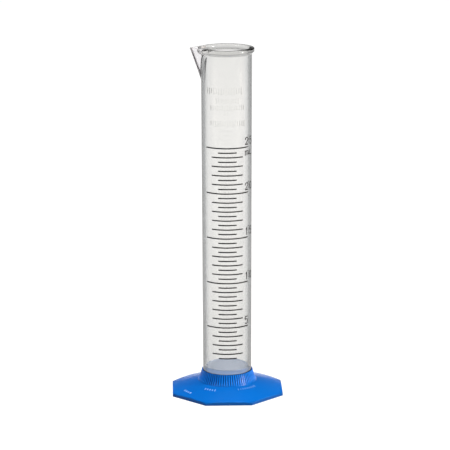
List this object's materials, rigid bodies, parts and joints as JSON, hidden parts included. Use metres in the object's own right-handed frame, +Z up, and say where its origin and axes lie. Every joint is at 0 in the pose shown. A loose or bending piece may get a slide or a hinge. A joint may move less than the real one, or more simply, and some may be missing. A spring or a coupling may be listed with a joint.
{
  "type": "graduated cylinder",
  "caption": "Clear plastic measuring cylinder with a pouring spout, a beaded rim and a printed black scale, standing in a push-on blue octagonal foot.",
  "frame": {"origin": "centre of the foot's underside, on the surface that the cylinder stands on", "axes": "+Z up along the tube, -Y towards the printed scale, -X towards the pouring spout; two flats of the foot are parallel to each of X and Y"},
  "size_m": [0.0466, 0.0466, 0.1473],
  "materials": {
    "clear_plastic": "clear, slightly hazy moulded plastic with a smooth gloss",
    "blue_plastic": "bright blue moulded plastic, semi-gloss with a fine grain",
    "black_ink": "screen-printed black ink, satin"
  },
  "bodies": {
    "foot": {"foot": "blue_plastic"},
    "tube": {"tube": "clear_plastic", "lines_5_ml": "black_ink", "lines_1_ml": "black_ink", "lines_half_ml": "black_ink", "numeral_5": "black_ink", "numeral_10": "black_ink", "numeral_15": "black_ink", "numeral_20": "black_ink", "numeral_25": "black_ink", "unit_ml": "black_ink"}
  },
  "joints": [
    {"name": "tube_lift", "type": "slide", "parent": "foot", "child": "tube", "axis": [0, 0, 1], "range_m": [0, 0.02]}
  ]
}
